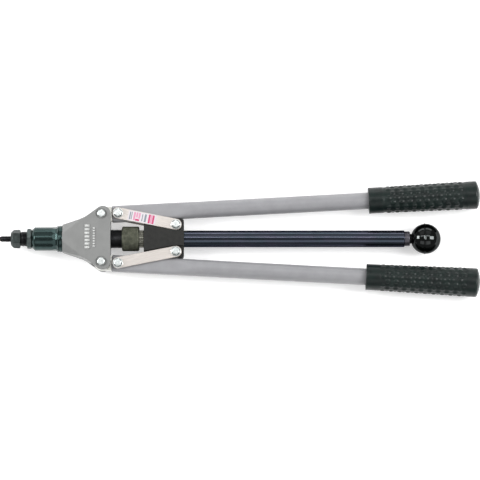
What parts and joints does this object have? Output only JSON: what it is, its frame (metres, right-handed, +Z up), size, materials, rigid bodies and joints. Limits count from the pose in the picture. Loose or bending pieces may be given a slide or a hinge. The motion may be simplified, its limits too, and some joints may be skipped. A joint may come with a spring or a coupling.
{
  "type": "hand riveter",
  "caption": "Long-arm hand lever tool that pulls a threaded mandrel to set rivet nuts; toggle-linked arms, knurled stroke stop and ball-knob spindle.",
  "frame": {"origin": "under the middle of the tool, on the surface that it lies on", "axes": "+X along the tool, away from the nose; +Z up, along the arm pivots; +Y to the upper arm's side"},
  "size_m": [0.5564, 0.1354, 0.0357],
  "materials": {
    "blackened_steel": "blackened, satin",
    "nose_steel": "phosphated grey, satin",
    "black_steel": "black oxide",
    "head_paint": "grey paint on a casting, fine orange peel",
    "arm_paint": "grey paint, semi-gloss",
    "grip_rubber": "moulded rubber with raised dots",
    "bright_steel": "ground flat steel, lengthwise grain",
    "zinc_plate": "bright zinc plate",
    "phosphated_steel": "matt phosphated",
    "knurled_steel": "fine knurl, phosphated",
    "blued_steel": "polished and blued",
    "collar_steel": "turned steel",
    "bronze": "turned bronze",
    "phenolic": "high gloss moulded"
  },
  "bodies": {
    "head": {"head_casting": "head_paint", "barrel": "blackened_steel", "barrel_lock_ring": "blackened_steel", "lock_nut": "nose_steel", "nose_sleeve": "black_steel", "nosepiece": "nose_steel", "upper_pivot_bolt": "zinc_plate", "upper_pivot_nut": "zinc_plate", "lower_pivot_bolt": "zinc_plate", "lower_pivot_nut": "zinc_plate"},
    "upper_arm": {"upper_arm_eye": "bright_steel", "upper_arm_tube": "arm_paint", "upper_pivot_bush": "bronze", "upper_grip": "grip_rubber", "upper_arm_link_bolt": "zinc_plate", "upper_arm_link_nut": "zinc_plate"},
    "lower_arm": {"lower_arm_eye": "bright_steel", "lower_arm_tube": "arm_paint", "lower_pivot_bush": "bronze", "lower_grip": "grip_rubber", "lower_arm_link_bolt": "zinc_plate", "lower_arm_link_nut": "zinc_plate"},
    "upper_links": {"upper_front_link": "bright_steel", "upper_rear_link": "bright_steel", "upper_crosshead_link_bolt": "zinc_plate", "upper_crosshead_link_nut": "zinc_plate"},
    "lower_links": {"lower_front_link": "bright_steel", "lower_rear_link": "bright_steel", "lower_crosshead_link_bolt": "zinc_plate", "lower_crosshead_link_nut": "zinc_plate"},
    "crosshead": {"crosshead": "phosphated_steel", "traction_sleeve": "black_steel", "guide_tube": "blued_steel", "tube_end_bush": "collar_steel", "thrust_washer": "bronze"},
    "detent_ring": {"detent_ring": "bright_steel"},
    "stroke_nut": {"stroke_nut": "knurled_steel"},
    "spindle": {"mandrel": "black_steel", "mandrel_adapter": "black_steel", "spindle_rod": "bright_steel", "knob_stud": "black_steel", "ball_knob": "phenolic"}
  },
  "joints": [
    {"name": "upper_arm_pivot", "type": "hinge", "parent": "head", "child": "upper_arm", "pos_m": [-0.1599, 0.028, 0.0182], "axis": [0, 0, 1], "range_deg": [0, 52]},
    {"name": "lower_arm_pivot", "type": "hinge", "parent": "head", "child": "lower_arm", "pos_m": [-0.1599, -0.028, 0.0182], "axis": [0, 0, 1], "range_deg": [-52, 0]},
    {"name": "upper_link_pivot", "type": "hinge", "parent": "upper_arm", "child": "upper_links", "pos_m": [-0.14063, 0.02904, 0.0182], "axis": [0, 0, 1], "range_deg": [-65.02, 0]},
    {"name": "lower_link_pivot", "type": "hinge", "parent": "lower_arm", "child": "lower_links", "pos_m": [-0.14063, -0.02904, 0.0182], "axis": [0, 0, 1], "range_deg": [0, 65.02]},
    {"name": "crosshead_slide", "type": "slide", "parent": "head", "child": "crosshead", "axis": [-1, 0, 0], "range_m": [0, 0.01293]},
    {"name": "detent_ring_slide", "type": "slide", "parent": "crosshead", "child": "detent_ring", "axis": [1, 0, 0], "range_m": [0, 0.0045]},
    {"name": "stroke_nut_turn", "type": "hinge", "parent": "detent_ring", "child": "stroke_nut", "pos_m": [-0.126, 0, 0.0182], "axis": [1, 0, 0], "range_deg": [0, 1080]},
    {"name": "spindle_turn", "type": "hinge", "parent": "crosshead", "child": "spindle", "pos_m": [0, 0, 0.0182], "axis": [1, 0, 0], "continuous": true}
  ],
  "couplings": [
    {"joint": "lower_arm_pivot", "follows": "upper_arm_pivot", "ratio": -1},
    {"joint": "upper_link_pivot", "follows": "upper_arm_pivot", "ratio": -1.2505},
    {"joint": "lower_link_pivot", "follows": "upper_arm_pivot", "ratio": 1.2505},
    {"joint": "crosshead_slide", "follows": "upper_arm_pivot", "m_per_rad": 0.014251},
    {"joint": "detent_ring_slide", "follows": "stroke_nut_turn", "m_per_rad": 0.00023873}
  ]
}
